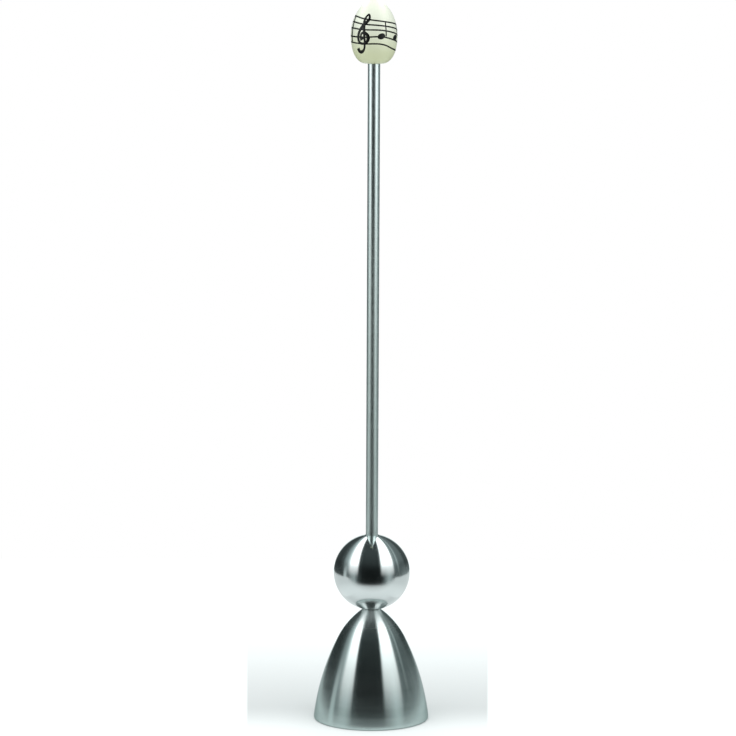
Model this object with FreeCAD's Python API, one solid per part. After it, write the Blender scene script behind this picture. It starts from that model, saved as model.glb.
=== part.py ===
"""Egg topper: a steel ball drops down a rod onto a bell whose rim scores an egg's shell.

Millimetres, +Z up.  The origin is the centre of the bell's mouth, on the plane it stands on.
Every piece but the nut is turned about the Z axis.
"""
import FreeCAD, Part
import math
import os

# Bell: a spun cup of stainless steel
rim_diameter = 40.0
bell_height = 38.7
bell_wall = 1.2
crown_land_diameter = 6.0        # flat on top, where the rod stands and the ball strikes
crown_hole_clearance = 0.1       # round the rod's spigot, on the radius
foot_round = 0.8                 # outside edge of the mouth
flank_lean = 7.0                 # degrees that the flank leans inward above the foot
shoulder_radius = 28.0
shoulder_slope = 35.8            # degrees below level where the shoulder leaves the crown

# Rod: ground bar with a threaded spigot at each end
rod_diameter = 4.2
rod_length = 189.2               # between its two shoulders
spigot_diameter = 3.0
spigot_top_length = 6.5
spigot_point = 0.8               # what stands out below the nut
rod_edge_bevel = 0.2
relief_length = 0.6              # groove where each thread runs out at its shoulder
relief_depth = 0.3
thread_clearance = 0.05          # between a spigot and the thread that takes it, on the radius

# Drop ball: the weight that slides on the rod
ball_diameter = 26.3
ball_running_clearance = 0.1     # on the radius
ball_mouth_bevel = 0.25
ball_rest_gap = 0.05             # film left between the ball and what stops it

# Knob: an egg turned from wood and lacquered
knob_diameter = 15.8
knob_height = 22.0
knob_widest_height = 9.5
knob_base_land = 0.25            # flat ring round the hole in the base
knob_base_sweep = 2.4            # how far the base's flat carries on into the curve
knob_lower_sweep = 7.2
knob_upper_sweep = 7.5
knob_tip_sweep = 3.0
rod_socket_depth = 0.6           # what the knob hides of the rod's shoulder
rod_socket_clearance = 0.1       # round the rod and the insert, on the radius

# Insert: knurled brass bush that gives the wood a thread
insert_wall = 0.8                # outside the thread
insert_length = 7.0
insert_groove_width = 1.0
insert_groove_depth = 0.25
insert_end_bevel = 0.3
drill_point_angle = 118.0

# Fixings under the crown
washer_diameter = 7.0
washer_thickness = 0.5
washer_edge_bevel = 0.1
fixing_hole_clearance = 0.1      # round the spigot, on the radius
lock_washer_diameter = 6.2
lock_washer_thickness = 0.8
lock_washer_split = 0.5
lock_washer_split_angle = 25.0   # degrees that the split leans from upright
nut_across_flats = 5.5
nut_thickness = 2.4
nut_corner_bevel = 0.45
nut_mouth_bevel = 0.25
fixing_land_margin = 0.4         # flat left round the washer inside the crown

AXIS = FreeCAD.Vector(0, 0, 1)
ORIGIN = FreeCAD.Vector(0, 0, 0)


def at(radius, height):
    """A point of a turned outline."""
    return FreeCAD.Vector(radius, 0, height)


def toward(point, slope, distance):
    """The point at a distance, up a slope in degrees from level."""
    turn = math.radians(slope)
    return at(point.x + distance * math.cos(turn), point.z + distance * math.sin(turn))


# The bell's side: a foot rounding, a flank and a shoulder, each running on into the next
foot_radius = min(foot_round, 0.7 * bell_wall)
foot_centre = at(rim_diameter / 2 - foot_radius, foot_radius)
side_start = toward(foot_centre, flank_lean, foot_radius)
crown_edge = at(crown_land_diameter / 2, bell_height)
shoulder_centre = toward(crown_edge, 90 - shoulder_slope, -shoulder_radius)

# The flank's circle leaves the foot at its lean and holds the shoulder's circle inside it
step = shoulder_centre - toward(side_start, flank_lean, -shoulder_radius)
step_outward = step.dot(toward(ORIGIN, flank_lean, 1))
flank_radius = shoulder_radius - step.Length ** 2 / (2 * step_outward)
flank_centre = toward(side_start, flank_lean, -flank_radius)

# The crown is as thick as leaves the washer a flat inside the shoulder
inner_land_radius = washer_diameter / 2 + fixing_land_margin
crown_underside = shoulder_centre.z + math.sqrt(
    (shoulder_radius - bell_wall) ** 2 - (inner_land_radius - shoulder_centre.x) ** 2)

# Places that several pieces share
washer_underside = crown_underside - washer_thickness
lock_washer_underside = washer_underside - lock_washer_thickness
nut_underside = lock_washer_underside - nut_thickness
rod_top = bell_height + rod_length
knob_base = rod_top - rod_socket_depth
spigot_radius = spigot_diameter / 2
insert_radius = spigot_radius + insert_wall
socket_radius = max(rod_diameter / 2, insert_radius) + rod_socket_clearance
ball_bore_radius = rod_diameter / 2 + ball_running_clearance
fixing_hole_radius = spigot_radius + fixing_hole_clearance


def lines(*points):
    """Straight edges from point to point."""
    return [Part.LineSegment(a, b).toShape() for a, b in zip(points, points[1:])]


def bend(centre, start, end):
    """The arc round a centre from start to end."""
    middle = (start - centre) + (end - centre)
    middle.normalize()
    return Part.Arc(start, centre + middle * (start - centre).Length, end).toShape()


def sweep(*poles):
    """A smooth curve that leaves and meets its ends along its handles."""
    curve = Part.BezierCurve()
    curve.setPoles(list(poles))
    return curve.toShape()


def turned(edges):
    """A closed outline turned a full revolution about the axis."""
    outline = Part.Face(Part.Wire(edges))
    return outline.revolve(ORIGIN, AXIS, 360)


def side(inward, start, end):
    """The bell's flank and shoulder, carried inward by a depth, from start to end."""
    meeting = flank_centre + (shoulder_centre - flank_centre).normalize() * (flank_radius - inward)
    return [bend(flank_centre, start, meeting), bend(shoulder_centre, meeting, end)]


def bell():
    """Thin cup with a thicker crown; the sharp inner edge of its mouth scores the shell."""
    foot_land_end = at(foot_centre.x, 0)
    inner_flank_radius = flank_radius - bell_wall
    scoring_edge = at(flank_centre.x + math.sqrt(inner_flank_radius ** 2 - flank_centre.z ** 2), 0)
    hole_radius = spigot_radius + crown_hole_clearance
    inner_land_edge = at(inner_land_radius, crown_underside)
    foot = lines(scoring_edge, foot_land_end) + [bend(foot_centre, foot_land_end, side_start)]
    crown = lines(crown_edge, at(hole_radius, bell_height), at(hole_radius, crown_underside),
                  inner_land_edge)
    outside = side(0, side_start, crown_edge)
    inside = side(bell_wall, scoring_edge, inner_land_edge)[::-1]
    return turned(foot + outside + crown + inside)


def rod():
    """Bar that stands on the crown and carries the knob, with a spigot at each end."""
    radius = rod_diameter / 2
    relief = spigot_radius - relief_depth
    point = nut_underside - spigot_point
    top = rod_top + spigot_top_length
    bevel = rod_edge_bevel
    lower_spigot = [
        at(0, point), at(spigot_radius - bevel, point), at(spigot_radius, point + bevel),
        at(spigot_radius, bell_height - relief_length), at(relief, bell_height - relief_length),
        at(relief, bell_height)]
    bar = [
        at(radius - bevel, bell_height), at(radius, bell_height + bevel),
        at(radius, rod_top - bevel), at(radius - bevel, rod_top)]
    upper_spigot = [
        at(relief, rod_top), at(relief, rod_top + relief_length),
        at(spigot_radius, rod_top + relief_length), at(spigot_radius, top - bevel),
        at(spigot_radius - bevel, top), at(0, top)]
    return turned(lines(*lower_spigot, *bar, *upper_spigot, lower_spigot[0]))


def drop_ball():
    """Solid ball bored through for the rod, resting on the crown by its bevelled mouth."""
    radius = ball_diameter / 2
    mouth_radius = ball_bore_radius + ball_mouth_bevel
    mouth_reach = math.sqrt(radius ** 2 - mouth_radius ** 2)
    centre = bell_height + ball_rest_gap + mouth_reach
    bore_reach = mouth_reach - ball_mouth_bevel
    lower_mouth = at(mouth_radius, centre - mouth_reach)
    upper_mouth = at(mouth_radius, centre + mouth_reach)
    outside = bend(at(0, centre), lower_mouth, upper_mouth)
    bore = lines(upper_mouth, at(ball_bore_radius, centre + bore_reach),
                 at(ball_bore_radius, centre - bore_reach), lower_mouth)
    return turned([outside] + bore)


def egg_knob():
    """Egg with its blunt end down and a stepped blind hole for the rod's end and the insert."""
    hole_end = rod_top + max(insert_length, spigot_top_length)
    drill_point = hole_end + insert_radius / math.tan(math.radians(drill_point_angle / 2))
    base_edge = at(socket_radius + knob_base_land, knob_base)
    waist = at(knob_diameter / 2, knob_base + knob_widest_height)
    tip = at(0, knob_base + knob_height)
    lower = sweep(base_edge, toward(base_edge, 0, knob_base_sweep),
                  toward(waist, -90, knob_lower_sweep), waist)
    upper = sweep(waist, toward(waist, 90, knob_upper_sweep),
                  toward(tip, 0, knob_tip_sweep), tip)
    hole = lines(tip, at(0, drill_point), at(insert_radius, hole_end), at(insert_radius, rod_top),
                 at(socket_radius, rod_top), at(socket_radius, knob_base), base_edge)
    return turned([lower, upper] + hole)


def knob_insert():
    """Brass bush with a groove between its two gripping bands."""
    outer = insert_radius
    inner = spigot_radius + thread_clearance
    bevel = insert_end_bevel
    groove = outer - insert_groove_depth
    middle = rod_top + insert_length / 2
    groove_low = middle - insert_groove_width / 2
    groove_high = middle + insert_groove_width / 2
    end = rod_top + insert_length
    return turned(lines(
        at(inner, rod_top), at(outer - bevel, rod_top), at(outer, rod_top + bevel),
        at(outer, groove_low), at(groove, groove_low), at(groove, groove_high),
        at(outer, groove_high), at(outer, end - bevel), at(outer - bevel, end),
        at(inner, end), at(inner, rod_top)))


def ring(diameter, low, high, bevel):
    """A washer with its outer edges broken."""
    outer = diameter / 2
    return turned(lines(
        at(fixing_hole_radius, low), at(outer - bevel, low), at(outer, low + bevel),
        at(outer, high - bevel), at(outer - bevel, high), at(fixing_hole_radius, high),
        at(fixing_hole_radius, low)))


def crown_washer():
    return ring(washer_diameter, washer_underside, crown_underside, washer_edge_bevel)


def lock_washer():
    """Spring washer, pressed flat by the nut, with its slanting split."""
    whole = ring(lock_washer_diameter, lock_washer_underside, washer_underside,
                 washer_edge_bevel)
    height = 3 * lock_washer_thickness
    split = Part.makeBox(lock_washer_diameter, lock_washer_split, height,
                         FreeCAD.Vector(0, -lock_washer_split / 2, -height / 2))
    split.rotate(ORIGIN, FreeCAD.Vector(1, 0, 0), lock_washer_split_angle)
    split.translate(at(0, lock_washer_underside + lock_washer_thickness / 2))
    return whole.cut(split)


def crown_nut():
    """Hexagon nut with its corners turned off at both ends."""
    corner_radius = nut_across_flats / math.sqrt(3)
    corners = [FreeCAD.Vector(corner_radius * math.cos(math.radians(60 * step)),
                              corner_radius * math.sin(math.radians(60 * step)),
                              nut_underside) for step in range(6)]
    hexagon = Part.Face(Part.makePolygon(corners + corners[:1]))
    prism = hexagon.extrude(AXIS * nut_thickness)
    thread = spigot_radius + thread_clearance
    mouth = thread + nut_mouth_bevel
    low, high = nut_underside, lock_washer_underside
    drop = nut_corner_bevel * math.tan(math.radians(30))
    envelope = turned(lines(
        at(thread, low + nut_mouth_bevel), at(mouth, low),
        at(corner_radius - nut_corner_bevel, low), at(corner_radius, low + drop),
        at(corner_radius, high - drop), at(corner_radius - nut_corner_bevel, high),
        at(mouth, high), at(thread, high - nut_mouth_bevel),
        at(thread, low + nut_mouth_bevel)))
    return prism.common(envelope)


PIECES = {
    "bell": bell,
    "rod": rod,
    "drop_ball": drop_ball,
    "egg_knob": egg_knob,
    "knob_insert": knob_insert,
    "crown_washer": crown_washer,
    "lock_washer": lock_washer,
    "crown_nut": crown_nut,
}

os.makedirs("parts", exist_ok=True)
for name, make in PIECES.items():
    make().exportStep(f"parts/{name}.step")
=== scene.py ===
"""Egg topper: finishes, print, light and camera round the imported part.  Metres, +Z up."""
import math

import bmesh
import bpy
from mathutils import Matrix, Vector
from mathutils.bvhtree import BVHTree
from mathutils.geometry import interpolate_bezier


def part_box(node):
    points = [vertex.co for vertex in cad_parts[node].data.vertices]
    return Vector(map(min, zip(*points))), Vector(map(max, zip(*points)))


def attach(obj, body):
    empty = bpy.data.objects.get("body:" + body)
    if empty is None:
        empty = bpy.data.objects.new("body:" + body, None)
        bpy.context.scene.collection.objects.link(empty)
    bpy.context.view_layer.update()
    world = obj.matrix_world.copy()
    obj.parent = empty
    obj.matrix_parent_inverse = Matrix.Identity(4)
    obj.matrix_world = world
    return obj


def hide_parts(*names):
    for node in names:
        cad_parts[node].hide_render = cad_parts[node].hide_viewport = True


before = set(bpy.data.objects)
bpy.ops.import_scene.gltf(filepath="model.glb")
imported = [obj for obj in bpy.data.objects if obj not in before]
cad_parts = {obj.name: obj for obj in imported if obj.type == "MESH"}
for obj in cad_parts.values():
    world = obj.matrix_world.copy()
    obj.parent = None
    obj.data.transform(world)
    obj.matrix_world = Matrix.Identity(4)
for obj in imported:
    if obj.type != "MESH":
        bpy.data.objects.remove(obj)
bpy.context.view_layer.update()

MM = 0.001
TURN = 2 * math.pi
AXIS = (0, 0, 1)
SAME_PLACE = 1e-7                # points closer than this are one
SHARP_ANGLE = math.radians(32)   # an edge that turns more than this isn't smoothed over


def box(node):
    """A node's radius, its foot and its top."""
    low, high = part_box(node)
    return high.x, low.z, high.z


# Sizes that the frame gives
rim_radius, bell_foot, bell_top = box("bell")
ball_radius, ball_low_mouth, ball_high_mouth = box("drop_ball")
rod_radius, rod_point, rod_end = box("rod")
knob_radius, knob_base, knob_tip = box("egg_knob")
insert_radius, rod_top, _ = box("knob_insert")
washer_radius, _, crown_underside = box("crown_washer")

# Bell
bell_wall = 1.2 * MM
crown_land_radius = 3.0 * MM
crown_hole_radius = 1.6 * MM
washer_clearance = 0.4 * MM
crown_inner_land = washer_radius + washer_clearance
foot_round = 0.8 * MM
flank_lean = math.radians(7)
shoulder_radius = 28 * MM
shoulder_slope = math.radians(35.8)
painted_shade_foot = (bell_foot + 17 * MM, bell_foot + 4 * MM)    # its painted shade deepens from one height down to the other

# Drop ball
ball_middle = (ball_low_mouth + ball_high_mouth) / 2
ball_bore_radius = 2.2 * MM
ball_mouth_radius = 2.45 * MM

# Rod
spigot_radius = 1.5 * MM
relief_length = 0.6 * MM         # of bare core between a shoulder and its thread
rod_edge_bevel = 0.2 * MM
dull_rod = (rod_top - 25 * MM, rod_top - 85 * MM)    # its polish fades from one to the other

# Thread on the rod's two spigots
thread_pitch = 0.5 * MM
thread_depth = 0.3 * MM
thread_core = spigot_radius - thread_depth
thread_crest = thread_pitch / 8          # half of the ridge's width, at its top
thread_root = thread_pitch * 0.45        # and at its foot, where two turns just don't meet
thread_bedding = 0.9                     # the ridge reaches in to this much of the core's radius
thread_steps = 32                        # to one turn

# Knob
socket_radius = 2.4 * MM
insert_hole_depth = 7 * MM
drill_point_height = 1.4 * MM
knob_base_radius = 2.65 * MM
knob_widest = knob_base + 9.5 * MM
# How far the egg's two curves are drawn out straight at their ends
knob_base_sweep = 2.4 * MM
knob_lower_sweep = 7.2 * MM
knob_upper_sweep = 7.5 * MM
knob_tip_sweep = 3.0 * MM
painted_sheen_height = 14 * MM         # below this the painted sheen's paler cream fades into the fuller cream


# ---------------------------------------------------------------- turned pieces

class Outline:
    """Half of a turned section, drawn point by point beside the axis and then spun round it."""

    def __init__(self, radius, height):
        self.mesh = bmesh.new()
        self.tip = self.mesh.verts.new((radius, 0, height))

    def line(self, *points):
        """Straight on to each (radius, height)."""
        for radius, height in points:
            drawn = bmesh.ops.extrude_vert_indiv(self.mesh, verts=[self.tip])
            self.tip = drawn["verts"][0]
            self.tip.co = (radius, 0, height)

    def arc(self, centre, angle, steps):
        """Round a centre (radius, height), anticlockwise for a positive angle."""
        drawn = bmesh.ops.spin(self.mesh, geom=[self.tip], cent=(centre[0], 0, centre[1]),
                               axis=(0, -1, 0), angle=angle, steps=steps)
        self.tip = next(g for g in drawn["geom_last"] if isinstance(g, bmesh.types.BMVert))

    def curve(self, leave, arrive, end, steps):
        """Smoothly on to an end; leave and arrive are the handles of its two ends."""
        poles = [Vector((radius, 0, height)) for radius, height in (leave, arrive, end)]
        for place in interpolate_bezier(self.tip.co, *poles, steps + 1)[1:]:
            self.line((place.x, place.z))

    def turn(self, steps):
        """The closed solid of revolution."""
        bmesh.ops.spin(self.mesh, geom=self.mesh.verts[:] + self.mesh.edges[:], cent=(0, 0, 0),
                       axis=AXIS, angle=TURN, steps=steps, use_merge=True)
        bmesh.ops.remove_doubles(self.mesh, verts=self.mesh.verts, dist=SAME_PLACE)
        bmesh.ops.recalc_face_normals(self.mesh, faces=self.mesh.faces)
        return self.mesh


def put(name, data):
    """Adds an object to the scene."""
    made = bpy.data.objects.new(name, data)
    bpy.context.scene.collection.objects.link(made)
    return made


def put_mesh(name, mesh, material):
    """Adds a finished mesh to the scene, in its one material."""
    data = bpy.data.meshes.new(name)
    mesh.to_mesh(data)
    mesh.free()
    data.materials.append(material)
    return put(name, data)


def piece(name, mesh, body, material, node=None):
    """Adds a piece of the product, which rides on a body and may stand for a node of the part."""
    made = put_mesh(name, mesh, material)
    made.data.shade_smooth()
    made.data.set_sharp_from_angle(angle=SHARP_ANGLE)
    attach(made, body)
    if node:
        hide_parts(node)
    return made


def toward(point, slope, distance):
    """The point at a distance, up a slope from level."""
    return Vector(point) + distance * Vector((math.cos(slope), math.sin(slope)))


def slope_of(direction):
    """A direction's slope, up from level."""
    return math.atan2(direction.y, direction.x)


def bell_mesh():
    """Cup with a flank and a shoulder that run into each other, and a parallel inner wall."""
    foot_centre = Vector((rim_radius - foot_round, bell_foot + foot_round))
    side_start = toward(foot_centre, flank_lean, foot_round)
    crown_edge = Vector((crown_land_radius, bell_top))
    crown_facing = math.pi / 2 - shoulder_slope
    shoulder_centre = toward(crown_edge, crown_facing, -shoulder_radius)
    # The one radius of the flank at which both arcs have the same direction where they meet
    step = shoulder_centre - toward(side_start, flank_lean, -shoulder_radius)
    step_outward = step.dot(toward((0, 0), flank_lean, 1))
    flank_radius = shoulder_radius - step.length_squared / (2 * step_outward)
    flank_centre = toward(side_start, flank_lean, -flank_radius)
    meeting = slope_of(shoulder_centre - flank_centre)
    inner_flank = flank_radius - bell_wall
    inner_shoulder = shoulder_radius - bell_wall
    inner_start = -math.asin(flank_centre.y / inner_flank)
    inner_end = math.acos((crown_inner_land - shoulder_centre.x) / inner_shoulder)
    scoring_edge = toward(flank_centre, inner_start, inner_flank)
    outline = Outline(*scoring_edge)
    outline.line((foot_centre.x, bell_foot))
    outline.arc(foot_centre, math.pi / 2 + flank_lean, steps=10)
    outline.arc(flank_centre, meeting - flank_lean, steps=36)
    outline.arc(shoulder_centre, crown_facing - meeting, steps=36)
    outline.line((crown_hole_radius, bell_top), (crown_hole_radius, crown_underside),
                 (crown_inner_land, crown_underside))
    outline.arc(shoulder_centre, meeting - inner_end, steps=30)
    outline.arc(flank_centre, inner_start - meeting, steps=30)
    return outline.turn(steps=288)


def drop_ball_mesh():
    """Ball bored right through, with its two mouths broken."""
    mouth_angle = math.acos(ball_mouth_radius / ball_radius)
    bevel = ball_mouth_radius - ball_bore_radius
    outline = Outline(ball_mouth_radius, ball_low_mouth)
    outline.arc((0, ball_middle), 2 * mouth_angle, steps=96)
    outline.line((ball_bore_radius, ball_high_mouth - bevel),
                 (ball_bore_radius, ball_low_mouth + bevel),
                 (ball_mouth_radius, ball_low_mouth))
    return outline.turn(steps=256)


def rod_mesh():
    """Ground bar between its two shoulders, with a thread's core at each end."""
    core = thread_core
    bevel = rod_edge_bevel
    outline = Outline(0, rod_point)
    outline.line((core - bevel / 2, rod_point), (core, rod_point + bevel / 2), (core, bell_top),
                 (rod_radius - bevel, bell_top), (rod_radius, bell_top + bevel),
                 (rod_radius, rod_top - bevel), (rod_radius - bevel, rod_top), (core, rod_top),
                 (core, rod_end - bevel / 2), (core - bevel / 2, rod_end), (0, rod_end))
    mesh = outline.turn(steps=128)
    thread(mesh, rod_point, bell_top - relief_length)
    thread(mesh, rod_top + relief_length, rod_end)
    return mesh


def thread(mesh, low, high):
    """Adds the ridge of a screw thread that winds round a spigot's core."""
    inside = thread_core * thread_bedding
    turns = (high - low - 2 * thread_root) / thread_pitch
    steps = round(thread_steps * turns)
    corners = [(inside, -thread_root), (thread_core, -thread_root),
               (spigot_radius, -thread_crest), (spigot_radius, thread_crest),
               (thread_core, thread_root), (inside, thread_root)]
    ring = [mesh.verts.new((radius, 0, low + thread_root + rise)) for radius, rise in corners]
    bmesh.ops.spin(mesh, geom=[mesh.faces.new(ring)], cent=(0, 0, 0), axis=AXIS,
                   angle=TURN * turns, steps=steps, dvec=(0, 0, turns * thread_pitch / steps))
    bmesh.ops.recalc_face_normals(mesh, faces=mesh.faces)


def egg_knob_mesh():
    """Egg, blunt end down, with a stepped blind hole."""
    hole_end = rod_top + insert_hole_depth
    outline = Outline(0, hole_end + drill_point_height)
    outline.line((insert_radius, hole_end), (insert_radius, rod_top), (socket_radius, rod_top),
                 (socket_radius, knob_base), (knob_base_radius, knob_base))
    outline.curve((knob_base_radius + knob_base_sweep, knob_base),
                  (knob_radius, knob_widest - knob_lower_sweep), (knob_radius, knob_widest),
                  steps=40)
    outline.curve((knob_radius, knob_widest + knob_upper_sweep), (knob_tip_sweep, knob_tip),
                  (0, knob_tip), steps=56)
    return outline.turn(steps=256)


# ---------------------------------------------------------------- nodes

def colour(code):
    """Linear colour of an sRGB hex value."""
    channels = [int(code[i:i + 2], 16) / 255 for i in (0, 2, 4)]
    return [c / 12.92 if c <= 0.04045 else ((c + 0.055) / 1.055) ** 2.4 for c in channels] + [1]


def add(tree, kind, inputs=None, **settings):
    """Adds a node with its settings; an input is a value, or another node's output."""
    node = tree.nodes.new(kind)
    for name, value in settings.items():
        setattr(node, name, value)
    for name, value in (inputs or {}).items():
        if isinstance(value, bpy.types.NodeSocket):
            tree.links.new(value, node.inputs[name])
        else:
            node.inputs[name].default_value = value
    return node


def maths(tree, operation, *values):
    """What an operation makes of its values."""
    return add(tree, "ShaderNodeMath", dict(enumerate(values)), operation=operation).outputs[0]


def graded(tree, value, between, results=(0.0, 1.0), curve="SMOOTHSTEP"):
    """Goes from the first result to the second while a value passes between two marks."""
    return add(tree, "ShaderNodeMapRange",
               {"Value": value, "From Min": between[0], "From Max": between[1],
                "To Min": results[0], "To Max": results[1]},
               interpolation_type=curve).outputs[0]


def mixed(tree, share, first, second):
    """A colour that goes from the first to the second as the share grows."""
    return add(tree, "ShaderNodeMix", {"Factor": share, 6: first, 7: second},
               data_type="RGBA").outputs[2]


def object_place(tree):
    """Where on the object a point is, in metres."""
    return add(tree, "ShaderNodeTexCoord").outputs["Object"]


def split(tree, vector):
    """A vector's three parts, by the names X, Y and Z."""
    return add(tree, "ShaderNodeSeparateXYZ", {0: vector}).outputs


def noise(tree, place, size, detail, roughness=0.5):
    """Random unevenness from 0 to 1, whose largest features are about this size."""
    return add(tree, "ShaderNodeTexNoise",
               {"Vector": place, "Scale": 1 / size, "Detail": detail,
                "Roughness": roughness}).outputs[0]


def bumps(tree, unevenness, depth):
    """The way a face looks when its unevenness is this deep."""
    return add(tree, "ShaderNodeBump",
               {"Height": unevenness, "Distance": depth, "Strength": 1.0}).outputs[0]


def new_material(name):
    """A material with nothing in it yet, and its tree."""
    material = bpy.data.materials.new(name)
    material.use_nodes = True
    material.node_tree.nodes.clear()
    return material, material.node_tree


def show(tree, shader, output="ShaderNodeOutputMaterial"):
    """Makes a shader what the tree shows."""
    add(tree, output, {"Surface": shader.outputs[0]})


# ---------------------------------------------------------------- materials

# Turned steel
across_rings = 0.25              # of a turn: a highlight is drawn out across the rings
patches_per_line = 0.12          # as they are wider than the fine lines
line_weight = 0.6                # how much the lines count beside the patches
line_patch_span = (0.5, 1.1)     # what both together come to, where it is smoothest and roughest

# Lacquer, print and small parts
peel_size = 1.5 * MM             # of the clear coat's orange peel
peel_depth = 0.006 * MM
cloud_size = 9 * MM              # of the enamel's thick and thin places
cloud_shade = (0.96, 1.04)
wiped_size = 0.6 * MM            # of the thin places in the printed black
barrel_wear = 0.3                # share by which a small part's roughness goes up and down


def turned_steel(name, tint, roughness, spread, anisotropy, line_width, line_depth, hub, coarse,
                 hub_painted_light_tint=None, wear_and_shade=None, edge_tint="FFFFFF"):
    """Steel cut or rubbed round its axis: fine rings that draw each highlight along the piece.

    Within the hub's radius it passes the tool slowly, which leaves it coarser, and a brighter
    tint can be painted there: painted light, which lifts the reflections it shows.  Wear and shade
    is two heights, with the tint and the added roughness that it takes on from the first down to
    the second: the added roughness is wear, and the tint can be painted shade.
    """
    material, tree = new_material(name)
    parts = split(tree, object_place(tree))
    flat = add(tree, "ShaderNodeCombineXYZ", {0: parts["X"], 1: parts["Y"]})
    radius = add(tree, "ShaderNodeVectorMath", {0: flat.outputs[0]},
                 operation="LENGTH").outputs["Value"]
    rings = add(tree, "ShaderNodeCombineXYZ", {0: radius, 2: parts["Z"]}).outputs[0]
    lines = noise(tree, rings, line_width, detail=3.0, roughness=0.6)
    patches = noise(tree, rings, line_width / patches_per_line, detail=1.0)
    uneven = maths(tree, "MULTIPLY_ADD", lines, line_weight, patches)
    rough = graded(tree, uneven, line_patch_span, (roughness - spread, roughness + spread),
                   "LINEAR")
    slow = graded(tree, radius, (hub, hub / 2))
    rough = maths(tree, "MULTIPLY_ADD", slow, coarse, rough)
    metal = colour(tint)
    # Painted light: a brighter tint at the hub lifts the reflections there
    if hub_painted_light_tint:
        metal = mixed(tree, slow, metal, colour(hub_painted_light_tint))
    # Its tint can be painted shade, as on the bell's foot, where no roughness is added
    if wear_and_shade:
        heights, wear_and_shade_tint, dull_roughness = wear_and_shade
        share = graded(tree, parts["Z"], heights)
        metal = mixed(tree, share, metal, colour(wear_and_shade_tint))
        rough = maths(tree, "MULTIPLY_ADD", share, dull_roughness, rough)
    grain = add(tree, "ShaderNodeTangent", direction_type="RADIAL", axis="Z")
    steel = add(tree, "ShaderNodeBsdfPrincipled",
                {"Base Color": metal, "Metallic": 1.0, "Roughness": rough,
                 "Anisotropic": anisotropy, "Anisotropic Rotation": across_rings,
                 "Specular Tint": colour(edge_tint),
                 "Tangent": grain.outputs[0], "Normal": bumps(tree, lines, line_depth)})
    show(tree, steel)
    return material


def ivory_lacquer():
    """Cream enamel sprayed on a turned wooden egg, then a clear coat.

    Its cream is painted paler toward the tip, a painted sheen, and the coat gives a soft broad
    light.
    """
    material, tree = new_material("ivory_gloss_lacquer")
    place = object_place(tree)
    peel = noise(tree, place, peel_size, detail=1.0)
    clouds = noise(tree, place, cloud_size, detail=2.0)
    # Painted sheen: the cream is paler toward the tip and fuller low down
    below_painted_sheen = graded(tree, split(tree, place)["Z"], (knob_base + painted_sheen_height, knob_base))
    cream = mixed(tree, below_painted_sheen, colour("F7FBE8"), colour("F4FACB"))
    shade = graded(tree, clouds, (0.0, 1.0), cloud_shade, "LINEAR")
    uneven = add(tree, "ShaderNodeVectorMath", {0: cream, "Scale": shade}, operation="SCALE")
    lacquer = add(tree, "ShaderNodeBsdfPrincipled",
                  {"Base Color": uneven.outputs[0], "Roughness": 0.38, "Coat Weight": 0.5,
                   "Coat Roughness": 0.28, "Coat Normal": bumps(tree, peel, peel_depth)})
    show(tree, lacquer)
    return material


def printing_enamel():
    """Black enamel, screen-printed: semi-gloss, and a little paler where it was wiped thin."""
    material, tree = new_material("black_printing_enamel")
    wiped = noise(tree, object_place(tree), wiped_size, detail=3.0)
    ink = mixed(tree, wiped, colour("050706"), colour("121410"))
    enamel = add(tree, "ShaderNodeBsdfPrincipled",
                 {"Base Color": ink, "Roughness": 0.4, "Specular IOR Level": 0.25})
    show(tree, enamel)
    return material


def small_part_metal(name, tint, roughness, grain_size, depth):
    """Metal of small fixings, which were tumbled in a barrel: bright and faintly pebbled."""
    material, tree = new_material(name)
    pebble = noise(tree, object_place(tree), grain_size, detail=4.0)
    rough = graded(tree, pebble, (0.0, 1.0),
                   (roughness * (1 - barrel_wear), roughness * (1 + barrel_wear)), "LINEAR")
    metal = add(tree, "ShaderNodeBsdfPrincipled",
                {"Base Color": colour(tint), "Metallic": 1.0, "Roughness": rough,
                 "Normal": bumps(tree, pebble, depth)})
    show(tree, metal)
    return material


# ---------------------------------------------------------------- print on the knob

# It is drawn flat, as degrees round the knob and millimetres above its base, and wrapped on it.
# The staff's five lines: their heights at these turns
staff_turns = (-70, -25, 20, 60, 105, 155, 205, 250)
staff_lines = (
    (16.1, 15.2, 14.5, 13.8, 12.9, 13.0, 14.8, 16.1),
    (14.15, 13.45, 13.0, 12.2, 11.0, 11.0, 12.7, 14.15),
    (12.1, 11.65, 11.45, 10.5, 9.2, 9.1, 10.6, 12.1),
    (9.3, 9.15, 9.25, 8.1, 6.8, 7.0, 8.4, 9.6),
    (7.25, 6.9, 6.75, 5.05, 4.4, 5.0, 6.3, 7.5),
)
# The clef, outward from the middle of its bowl: turn, height and stroke width
clef = (
    (-31, 8.2, 1.6), (-35, 9.2, 0.7), (-30, 10.6, 0.75), (-21, 10.4, 1.0),
    (-15, 8.9, 1.3), (-20, 7.4, 0.95), (-30, 6.95, 0.85), (-39.5, 7.5, 0.95), (-42.5, 9.4, 1.05),
    (-38.5, 11.3, 1.05), (-30.5, 12.9, 1.15), (-20, 14.2, 1.15), (-13.5, 15.5, 0.95),
    (-16, 16.6, 0.75), (-22, 16.2, 0.75), (-27, 15.1, 0.95), (-27, 13.4, 1.1),
    (-25.5, 10, 0.9), (-24.5, 6.5, 0.7), (-28, 4.9, 0.8), (-36, 4.15, 1.15),
    (-43, 4.4, 1.4), (-46, 5.3, 1.5),
)
# Notes: turn, height of the head and how far its stem goes up
notes = ((18.3, 9.45, 5.0), (63.5, 8.9, 5.0), (108, 10.4, -4.8), (136, 7.0, 4.9), (196, 9.0, 4.9),
         (216, 10.6, 4.9), (238, 13.4, -4.8))
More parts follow.
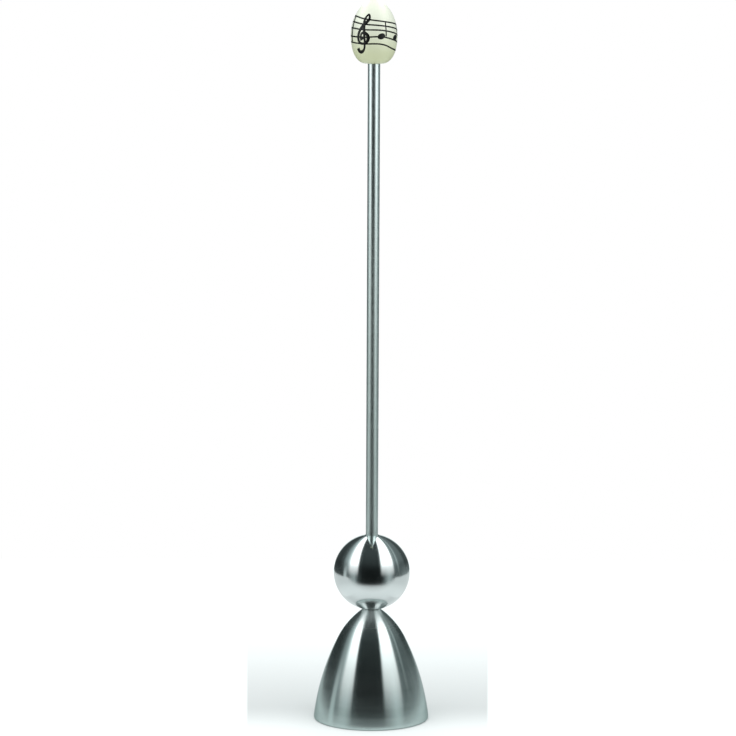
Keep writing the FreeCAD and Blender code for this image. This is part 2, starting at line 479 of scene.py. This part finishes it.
# Bar lines: turn, top, bottom and stroke width
bar_lines = ((-70, 16.1, 7.3, 1.0), (166, 13.3, 5.2, 0.5), (262, 16.3, 7.7, 0.5),
             (268, 16.4, 7.6, 0.5))
staff_stroke = 0.5
stem_stroke = 0.5
stem_aside = 12.6                # degrees from the middle of a note's head to its stem
head_half_length = 1.4
head_half_height = 1.0
head_half_depth = 0.2            # before it is pressed flat
head_tilt = math.radians(18)
ink_flatness = 0.12              # what is drawn round is pressed to this much of its depth
ink_rise = 0.004 * MM            # of the strokes' middle above the lacquer


def pen(drawing, points):
    """A smooth stroke on the flat drawing through (turn, height, width)."""
    stroke = drawing.splines.new("BEZIER")
    stroke.bezier_points.add(len(points) - 1)
    for knot, (turn, height, width) in zip(stroke.bezier_points, points):
        knot.co = (math.radians(turn) * knob_radius, height * MM, 0)
        knot.radius = width / 2 * MM
        knot.handle_left_type = knot.handle_right_type = "AUTO"


def print_strokes():
    """Staff, clef, stems and bar lines, as round strokes on a flat drawing."""
    drawing = bpy.data.curves.new("knob_print_drawing", "CURVE")
    drawing.dimensions = "3D"
    drawing.bevel_depth = 1
    drawing.bevel_resolution = 2
    drawing.resolution_u = 24
    drawing.use_fill_caps = True
    for heights in staff_lines:
        turn_before = (staff_turns[-1] - 360, heights[-1])
        turn_after = (staff_turns[0] + 360, heights[0])
        points = [turn_before, *zip(staff_turns, heights), turn_after]
        pen(drawing, [(turn, height, staff_stroke) for turn, height in points])
    pen(drawing, clef)
    for turn, height, stem in notes:
        side = turn + math.copysign(stem_aside, stem)
        pen(drawing, [(side, height, stem_stroke), (side, height + stem, stem_stroke)])
    for turn, top, bottom, width in bar_lines:
        pen(drawing, [(turn, top, width), (turn, bottom, width)])
    pattern = bpy.data.objects.new("knob_print_drawing", drawing)
    mesh = bmesh.new()
    mesh.from_mesh(bpy.data.meshes.new_from_object(pattern))
    bpy.data.objects.remove(pattern)
    return mesh


def knob_print_mesh(knob):
    """The drawing with its note heads, wrapped on the egg as a thin skin of enamel."""
    mesh = print_strokes()
    for turn, height, _ in notes:
        head = Matrix.Translation((math.radians(turn) * knob_radius, height * MM, 0))
        head @= Matrix.Rotation(head_tilt, 4, "Z")
        head @= Matrix.Diagonal((head_half_length * MM, head_half_height * MM,
                                 head_half_depth * MM, 1))
        bmesh.ops.create_uvsphere(mesh, u_segments=32, v_segments=16, radius=1, matrix=head)
    egg = BVHTree.FromObject(knob, bpy.context.evaluated_depsgraph_get())
    for vert in mesh.verts:
        turn = vert.co.x / knob_radius
        outward = Vector((math.sin(turn), -math.cos(turn), 0))
        inside = Vector((0, 0, knob_base + vert.co.y))
        place, normal, *_ = egg.ray_cast(inside + outward * 2 * knob_radius, -outward)
        vert.co = place + normal * (ink_rise + vert.co.z * ink_flatness)
    bmesh.ops.recalc_face_normals(mesh, faces=mesh.faces)
    return mesh


# ---------------------------------------------------------------- pieces in the scene

# Bell: stainless sheet, spun on a former and rubbed with cloth as it turned.  It mirrors softly,
# in strips that run up its side.  Its crown is painted a brighter tint, painted light that lifts
# the strips there, and its foot a darker, tealer tint, painted shade
spun_steel = turned_steel(
    "spun_stainless_steel", tint="D0D9D8", edge_tint="C0C8C7", hub_painted_light_tint="F0F6F5", roughness=0.16,
    spread=0.02, anisotropy=1.0, line_width=0.35 * MM, line_depth=0.0002 * MM, hub=12 * MM,
    coarse=0.165, wear_and_shade=(painted_shade_foot, "BCCBC9", 0.0))

# Ball: stainless, turned and then polished as it spun.  It mirrors more sharply than the bell
ball_steel = turned_steel(
    "turned_stainless_steel", tint="D6DCDC", roughness=0.12, spread=0.01, anisotropy=0.8,
    line_width=0.30 * MM, line_depth=0.0001 * MM, hub=5 * MM, coarse=0.03)

# Rod: stainless bar, ground between wheels.  Its marks are too fine to draw a light out, so it
# gives soft upright lights, softer lower down, where the ball has run on it
ground_steel = turned_steel(
    "ground_stainless_bar", tint="D5E1E0", roughness=0.34, spread=0.01, anisotropy=0.0,
    line_width=0.5 * MM, line_depth=0.0001 * MM, hub=1 * MM, coarse=0.0,
    wear_and_shade=(dull_rod, "DAE8E5", 0.07))

lacquer = ivory_lacquer()
enamel = printing_enamel()

# Insert: brass, turned and knurled from bar and left bare: yellow and satin
brass = small_part_metal("turned_brass", tint="E1BE6E", roughness=0.28, grain_size=0.4 * MM,
                         depth=0.002 * MM)

# Nut and washers: pressed steel, plated with zinc in a barrel: a cool bright grey
plated_steel = small_part_metal("zinc_plated_steel", tint="C9CCCB", roughness=0.26,
                                grain_size=0.25 * MM, depth=0.004 * MM)

piece("spun_bell", bell_mesh(), "stand", spun_steel, "bell")
piece("bored_ball", drop_ball_mesh(), "ball", ball_steel, "drop_ball")
piece("threaded_rod", rod_mesh(), "stand", ground_steel, "rod")
knob = piece("lacquered_knob", egg_knob_mesh(), "stand", lacquer, "egg_knob")
piece("knob_print", knob_print_mesh(knob), "stand", enamel)

finishes = {"crown_nut": plated_steel, "crown_washer": plated_steel, "lock_washer": plated_steel,
            "knob_insert": brass}
for node, finish in finishes.items():
    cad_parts[node].data.materials.clear()
    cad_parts[node].data.materials.append(finish)


# ---------------------------------------------------------------- studio

# Camera
camera_distance = 1120 * MM
camera_height = 274 * MM
camera_left = 1.6 * MM           # so the object stands a little right of the view's middle
camera_down = math.radians(7.68)
camera_roll = math.radians(0.25)
half_view = 368                  # half of the view's side and the lens's length, both in pixels
lens_length = 3287

# Even light from all round
even_rise = (-0.5, 1.0)          # the upward part of a direction, 1 for straight up
even_level = (0.43, 1.28)        # the light grows between these two as it rises

# Overhead light
overhead_side = 700 * MM
overhead_height = 1200 * MM
overhead_watts = 2.5

# Light tent, which only metal and lacquer see.  A spot of its cloth gets its brightness by the way
# a surface faces that mirrors it to the eye: how far round, which the strips give as (degrees from
# the front, brightness) with the right side positive, and how far up, from 0 for level to 1
strip_light = 1.5
tent_radius = 300 * MM
tent_skirt = -120 * MM
tent_eaves = 400 * MM
tent_top = 650 * MM
tent_wall_pull = 0.85            # share of the top's height to which its curve follows the wall,
tent_roof_pull = 0.6             # and share of the radius to which it follows the roof
seen_from = (0, -0.98, 0.19)     # the way from the piece to the eye
wall_rise = (0.06, 0.33)         # between these the low strips give way to the high ones
lit_rise = (0.28, 0.44)          # and between these all strips brighten
lit_gain = 1.6
cloth_teal = 0.2                 # share of red that the darkest cloth lacks
low_strips = (
    (-180, 0.30), (-89, 0.30), (-85, 0.06), (-61, 0.05), (-53, 0.04), (-48, 0.05),
    (-46, 0.41), (-42.5, 0.45), (-40, 0.10), (-37, 0.08), (-34, 0.17), (-31, 0.25), (-26.5, 0.28),
    (-24, 0.15), (-20.5, 0.045), (-14, 0.010), (0, 0.006), (12, 0.010), (16, 0.02), (19, 0.08),
    (23, 0.22), (27, 0.34), (31, 0.26), (35.5, 0.08), (42, 0.08), (48, 0.10), (54, 0.14),
    (61, 0.17), (85, 0.16), (89, 0.30), (180, 0.30))
high_strips = (
    (-180, 0.38), (-90, 0.38), (-85, 0.05), (-76, 0.025), (-62, 0.020), (-54, 0.036), (-51, 0.06),
    (-48.5, 0.12), (-43, 0.20), (-40, 0.32), (-37, 0.62), (-35, 0.90), (-22.3, 0.90),
    (-20.3, 0.028), (-14, 0.010), (10, 0.010), (13, 0.028), (15.5, 0.76), (17, 0.88),
    (34.5, 0.88), (37, 0.16), (42, 0.09), (45.3, 0.22), (47, 0.10), (50, 0.075), (60, 0.07),
    (67, 0.03), (84, 0.045), (88, 0.38), (180, 0.38))
top_glow = 0.045                 # which all cloth picks up toward the top of the tent,
top_glow_rise = (0.25, 0.95)     # by how far up it lies as seen from the ball

# Table: as far as the tent leaves room, fading out in front
table_side = 285 * MM
table_front = -118 * MM
table_full = -38 * MM
table_back = 285 * MM
table_lift = 0.32                # added glow, so that the camera sees it white
mirrored_share = 0.69            # how much of the lift the metal sees near the piece,
mirrored_reach = (50 * MM, 140 * MM)    # and how far out that runs down to none

# Painted shade: a soft grey band on the table, round the piece's foot, where the lift is smaller
band_lift = 0.03
band_middle = -1.3 * MM
band_splay = 0.037               # how fast it widens toward the back
band_side = (42.3 * MM, 41.5 * MM)      # each pair is where it begins and where it is full
band_front = (-22 * MM, 18 * MM)
band_back = (160 * MM, 5 * MM)


def camera():
    """Long lens from a little above the knob, tilted down to take in the foot."""
    data = bpy.data.cameras.new("camera")
    data.angle = 2 * math.atan(half_view / lens_length)
    made = put("camera", data)
    made.matrix_world = (Matrix.Translation((-camera_left, -camera_distance, camera_height))
                         @ Matrix.Rotation(math.pi / 2 - camera_down, 4, "X")
                         @ Matrix.Rotation(camera_roll, 4, "Z"))
    bpy.context.scene.camera = made


def even_light():
    """Soft light from all round, stronger from above, on a plain white background."""
    world = bpy.data.worlds.new("even_light")
    world.use_nodes = True
    world.cycles.sampling_method = "NONE"
    bpy.context.scene.world = world
    tree = world.node_tree
    tree.nodes.clear()
    away = add(tree, "ShaderNodeTexCoord").outputs["Generated"]
    level = graded(tree, split(tree, away)["Z"], even_rise, even_level, "LINEAR")
    path = add(tree, "ShaderNodeLightPath").outputs
    light = add(tree, "ShaderNodeBackground", {"Color": colour("FBFFFF"), "Strength": level})
    plain = add(tree, "ShaderNodeBackground", {"Color": colour("FFFFFF")})
    both = add(tree, "ShaderNodeMixShader",
               {0: path["Is Camera Ray"], 1: light.outputs[0], 2: plain.outputs[0]})
    show(tree, both, "ShaderNodeOutputWorld")


def cloth_strips(tree, turn, strips):
    """The tent's brightness round a full turn; the dark cloth is a little teal."""
    share = graded(tree, turn, (-math.pi, math.pi), curve="LINEAR")
    ramp = add(tree, "ShaderNodeValToRGB", {"Fac": share})
    stops = ramp.color_ramp.elements
    for degrees, _ in strips[1:-1]:
        stops.new((degrees + 180) / 360)
    for stop, (_, level) in zip(stops, strips):
        stop.color = (level * (1 - cloth_teal + cloth_teal * level), level, level, 1)
    return ramp.outputs[0]


def tent_cloth():
    """White and dark cloth, hung in strips and lit from behind, for the metal to mirror."""
    material, tree = new_material("tent_cloth")
    material.cycles.emission_sampling = "NONE"
    away = add(tree, "ShaderNodeVectorMath", {0: object_place(tree), 1: (0, 0, ball_middle)},
               operation="SUBTRACT")
    aim = add(tree, "ShaderNodeVectorMath", {0: away.outputs[0]}, operation="NORMALIZE")
    between = add(tree, "ShaderNodeVectorMath", {0: aim.outputs[0], 1: seen_from},
                  operation="ADD")
    facing = add(tree, "ShaderNodeVectorMath", {0: between.outputs[0]}, operation="NORMALIZE")
    parts = split(tree, facing.outputs[0])
    turn = maths(tree, "ARCTAN2", parts["X"], maths(tree, "MULTIPLY", parts["Y"], -1.0))
    wall = mixed(tree, graded(tree, parts["Z"], wall_rise, curve="LINEAR"),
                 cloth_strips(tree, turn, low_strips), cloth_strips(tree, turn, high_strips))
    lit = graded(tree, parts["Z"], lit_rise, (strip_light, strip_light * lit_gain))
    strips = add(tree, "ShaderNodeEmission", {"Color": wall, "Strength": lit})
    glow = graded(tree, split(tree, aim.outputs[0])["Z"], top_glow_rise, (0.0, top_glow),
                  "LINEAR")
    top = add(tree, "ShaderNodeEmission", {"Color": colour("E4FFFF"), "Strength": glow})
    show(tree, add(tree, "ShaderNodeAddShader", {0: strips.outputs[0], 1: top.outputs[0]}))
    return material


def light_tent():
    """Cloth round the table and on over the top, seen only in polished surfaces."""
    outline = Outline(tent_radius, tent_skirt)
    outline.line((tent_radius, tent_eaves))
    outline.curve((tent_radius, tent_top * tent_wall_pull),
                  (tent_radius * tent_roof_pull, tent_top), (0, tent_top), steps=24)
    made = put_mesh("light_tent", outline.turn(steps=96), tent_cloth())
    made.visible_camera = made.visible_diffuse = made.visible_shadow = False


def overhead_light():
    """Large soft box above, which gives the foot its shadow; the metal doesn't mirror it."""
    data = bpy.data.lights.new("overhead_light", "AREA")
    data.shape = "SQUARE"
    data.size = overhead_side
    data.energy = overhead_watts
    made = put("overhead_light", data)
    made.location = (0, 0, overhead_height)
    made.visible_glossy = False


def white_laminate():
    """Matt white laminate, lifted to white for the camera except in a soft grey band of painted
    shade.

    It fades out toward the front, and from below it is clear.
    """
    material, tree = new_material("white_laminate")
    place = object_place(tree)
    parts = split(tree, place)
    apart = maths(tree, "ABSOLUTE", maths(tree, "SUBTRACT", parts["X"], band_middle))
    aside = maths(tree, "MULTIPLY_ADD", parts["Y"], -band_splay, apart)
    # Painted shade round the foot: the lift is smaller in this band
    shade_band = 1.0
    for value, reach in ((aside, band_side), (parts["Y"], band_front), (parts["Y"], band_back)):
        shade_band = maths(tree, "MULTIPLY", shade_band, graded(tree, value, reach))
    lift = graded(tree, shade_band, (0.0, 1.0), (table_lift, band_lift), "LINEAR")
    path = add(tree, "ShaderNodeLightPath").outputs
    away = add(tree, "ShaderNodeVectorMath", {0: place}, operation="LENGTH").outputs["Value"]
    mirrored = graded(tree, away, mirrored_reach, (mirrored_share, 0.0))
    shown = maths(tree, "MULTIPLY_ADD", path["Is Glossy Ray"], mirrored, path["Is Camera Ray"])
    glow = add(tree, "ShaderNodeEmission",
               {"Color": colour("FAFFFF"), "Strength": maths(tree, "MULTIPLY", lift, shown)})
    paint = add(tree, "ShaderNodeBsdfDiffuse", {"Color": colour("CFD2D2")})
    top = add(tree, "ShaderNodeAddShader", {0: paint.outputs[0], 1: glow.outputs[0]})
    fade = graded(tree, parts["Y"], (table_full, table_front))
    below = add(tree, "ShaderNodeNewGeometry").outputs["Backfacing"]
    clear = add(tree, "ShaderNodeBsdfTransparent")
    show(tree, add(tree, "ShaderNodeMixShader", {0: maths(tree, "MAXIMUM", fade, below),
                                                 1: top.outputs[0], 2: clear.outputs[0]}))
    return material


def table():
    """Flat top that the object stands on."""
    mesh = bmesh.new()
    bmesh.ops.create_grid(mesh, x_segments=1, y_segments=1, size=1)
    for vert in mesh.verts:
        vert.co = (vert.co.x * table_side, table_back if vert.co.y > 0 else table_front, 0)
    made = put_mesh("table", mesh, white_laminate())


camera()
even_light()
light_tent()
overhead_light()
table()
bpy.context.scene.view_settings.view_transform = "Standard"
